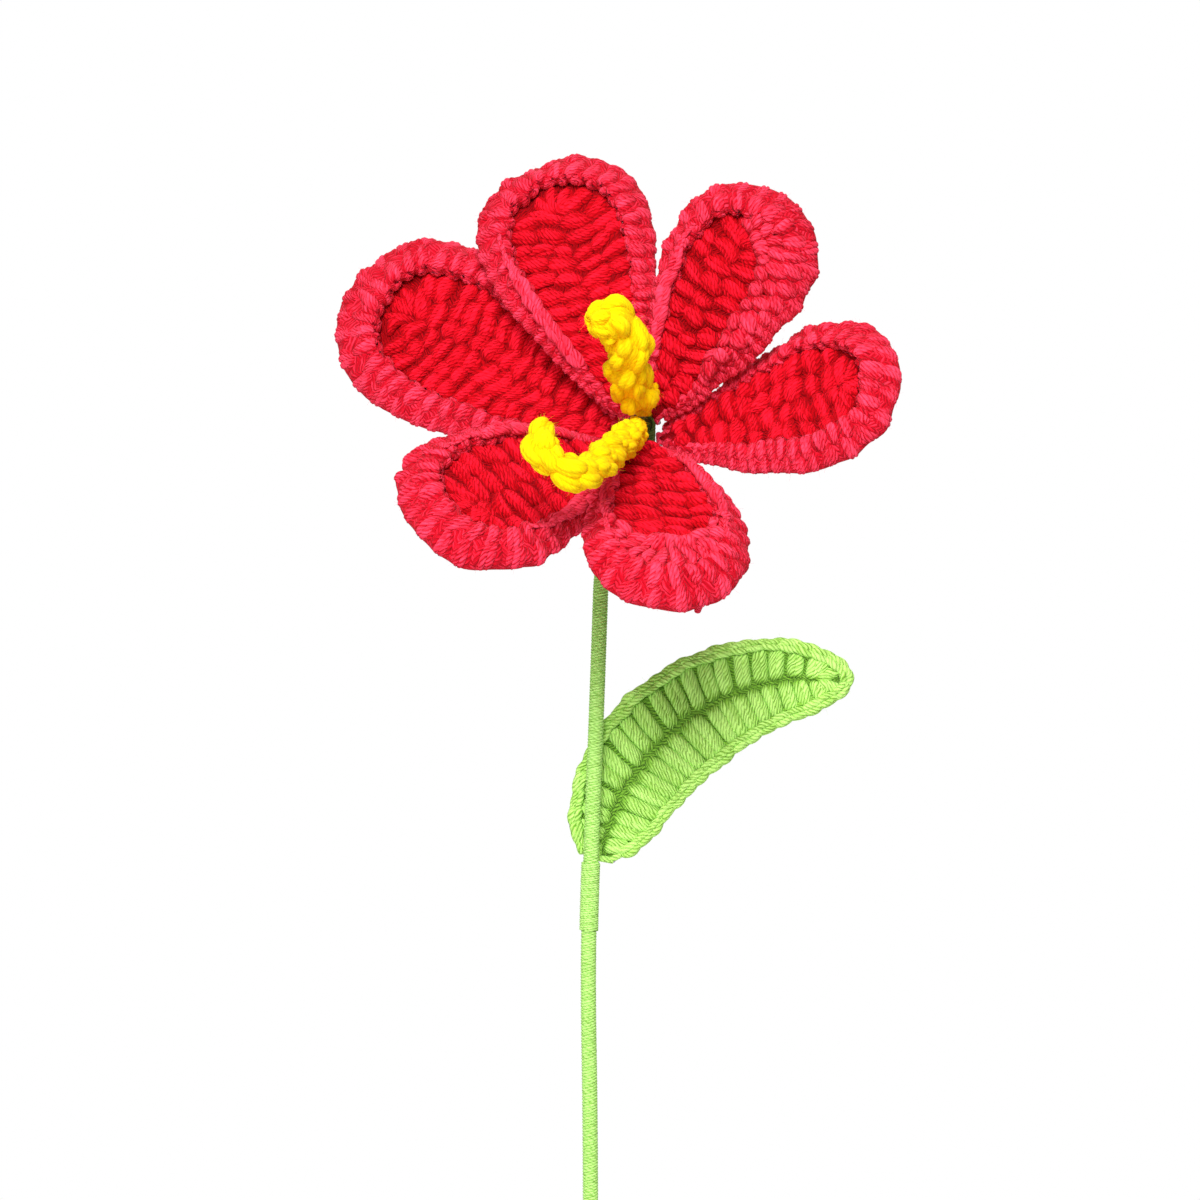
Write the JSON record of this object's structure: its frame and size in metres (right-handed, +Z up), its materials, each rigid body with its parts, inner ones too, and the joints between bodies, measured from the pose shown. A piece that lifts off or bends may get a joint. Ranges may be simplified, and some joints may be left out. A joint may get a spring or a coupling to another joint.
{
  "type": "crocheted flower",
  "caption": "Crocheted yarn flower on a thread-wound wire stem, with wired petals, lumpy stamens and a curved leaf that bend and stay where they are put, to stand in a vase.",
  "frame": {"origin": "centre of the stem's lower end", "axes": "+Z up the straight foot of the stem; the flower faces -Y and the leaf grows to +X"},
  "size_m": [0.1385, 0.0946, 0.3813],
  "materials": {
    "red_yarn": "soft matt yarn",
    "yellow_yarn": "soft matt yarn",
    "leaf_yarn": "soft matt yarn",
    "stem_thread": "smooth wound thread",
    "steel_wire": "plain drawn wire"
  },
  "bodies": {
    "stem": {"stem_wire": "steel_wire", "stem_wrap": "stem_thread", "flower_base": "stem_thread", "neck_binding": "stem_thread", "leaf_binding": "stem_thread"},
    "right_petal": {"right_petal_panel": "red_yarn", "right_petal_border": "red_yarn", "right_petal_wire": "steel_wire"},
    "upper_right_petal": {"upper_right_petal_panel": "red_yarn", "upper_right_petal_border": "red_yarn", "upper_right_petal_wire": "steel_wire"},
    "top_petal": {"top_petal_panel": "red_yarn", "top_petal_border": "red_yarn", "top_petal_wire": "steel_wire"},
    "left_petal": {"left_petal_panel": "red_yarn", "left_petal_border": "red_yarn", "left_petal_wire": "steel_wire"},
    "lower_left_petal": {"lower_left_petal_panel": "red_yarn", "lower_left_petal_border": "red_yarn", "lower_left_petal_wire": "steel_wire"},
    "bottom_petal": {"bottom_petal_panel": "red_yarn", "bottom_petal_border": "red_yarn", "bottom_petal_wire": "steel_wire"},
    "tall_stamen": {"tall_stamen": "yellow_yarn", "tall_stamen_wire": "steel_wire"},
    "curled_stamen": {"curled_stamen": "yellow_yarn", "curled_stamen_wire": "steel_wire"},
    "leaf": {"leaf_panel": "leaf_yarn", "leaf_border": "leaf_yarn", "leaf_wire": "steel_wire"}
  },
  "joints": [
    {"name": "right_petal_bend", "type": "hinge", "parent": "stem", "child": "right_petal", "pos_m": [0.017, -0.00829, 0.30761], "axis": [0.0624, -0.415, -0.9077], "range_deg": [-15, 2]},
    {"name": "upper_right_petal_bend", "type": "hinge", "parent": "stem", "child": "upper_right_petal", "pos_m": [0.01557, -0.00909, 0.31246], "axis": [0.8362, -0.2027, -0.5097], "range_deg": [-2, 8]},
    {"name": "top_petal_bend", "type": "hinge", "parent": "stem", "child": "top_petal", "pos_m": [0.01057, -0.0072, 0.31218], "axis": [0.9438, 0.001, 0.3306], "range_deg": [-2, 2]},
    {"name": "left_petal_bend", "type": "hinge", "parent": "stem", "child": "left_petal", "pos_m": [0.00856, -0.00309, 0.30712], "axis": [0.5526, 0.1898, 0.8116], "range_deg": [-12, 1]},
    {"name": "lower_left_petal_bend", "type": "hinge", "parent": "stem", "child": "lower_left_petal", "pos_m": [0.0092, -0.0096, 0.30462], "axis": [-0.6612, 0.35, 0.6636], "range_deg": [-10, 1]},
    {"name": "bottom_petal_bend", "type": "hinge", "parent": "stem", "child": "bottom_petal", "pos_m": [0.01304, -0.01365, 0.30602], "axis": [-0.9926, -0.1199, 0.0216], "range_deg": [-2, 2]},
    {"name": "tall_stamen_bend", "type": "hinge", "parent": "stem", "child": "tall_stamen", "pos_m": [0.0132, -0.01267, 0.31366], "axis": [-1, 0, 0], "range_deg": [-1, 6]},
    {"name": "curled_stamen_bend", "type": "hinge", "parent": "stem", "child": "curled_stamen", "pos_m": [0.0116, -0.01526, 0.3101], "axis": [-1, 0, 0], "range_deg": [-2, 2]},
    {"name": "leaf_bend", "type": "hinge", "parent": "stem", "child": "leaf", "pos_m": [0.0027, 0.0038, 0.203], "axis": [-0.9848, 0, 0.1736], "range_deg": [0, 40]}
  ]
}
